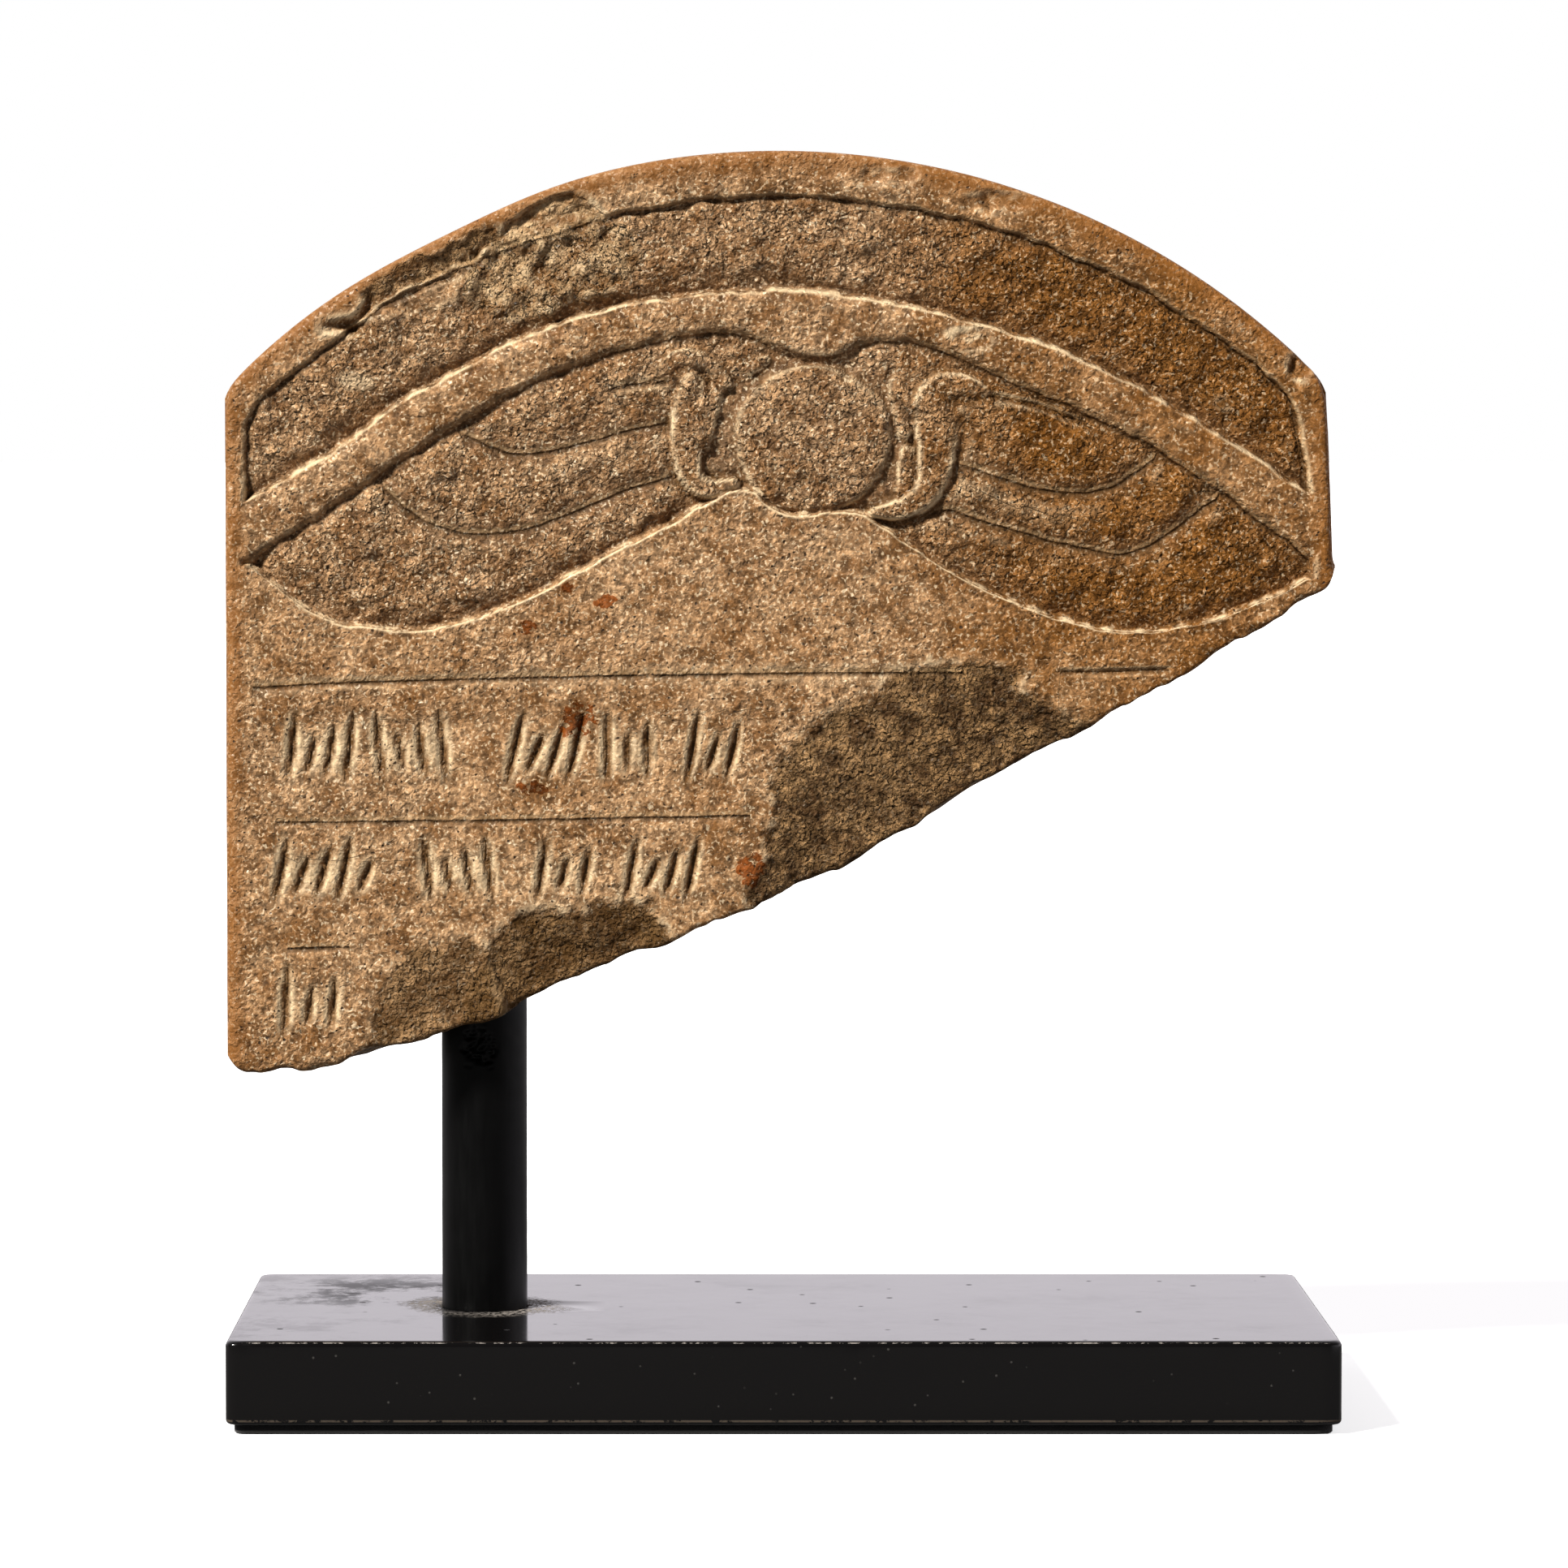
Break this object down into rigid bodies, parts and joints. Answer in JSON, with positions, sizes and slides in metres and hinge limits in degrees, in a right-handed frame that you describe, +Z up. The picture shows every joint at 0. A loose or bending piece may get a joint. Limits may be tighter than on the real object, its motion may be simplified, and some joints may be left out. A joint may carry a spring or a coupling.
{
  "type": "carved stone stele",
  "caption": "Upper part of a round-topped carved stone stele with a winged disc, broken aslant, on a round steel rod and a low black base.",
  "frame": {"origin": "centre of the base's underside, on the surface it stands on", "axes": "+Z up, +X to the right seen from the carved face, -Y out of the carved face"},
  "size_m": [0.2532, 0.119, 0.2882],
  "materials": {
    "carved_stone": "weathered tan sandstone, grainy, with rust-brown spots",
    "rod_paint": "black satin paint on steel bar",
    "block_lacquer": "black polished lacquer on wood, edges lightly worn",
    "pad_felt": "black felt"
  },
  "bodies": {
    "root": {"stele": "carved_stone", "support_rod": "rod_paint", "base_block": "block_lacquer", "base_pad": "pad_felt"}
  },
  "joints": []
}
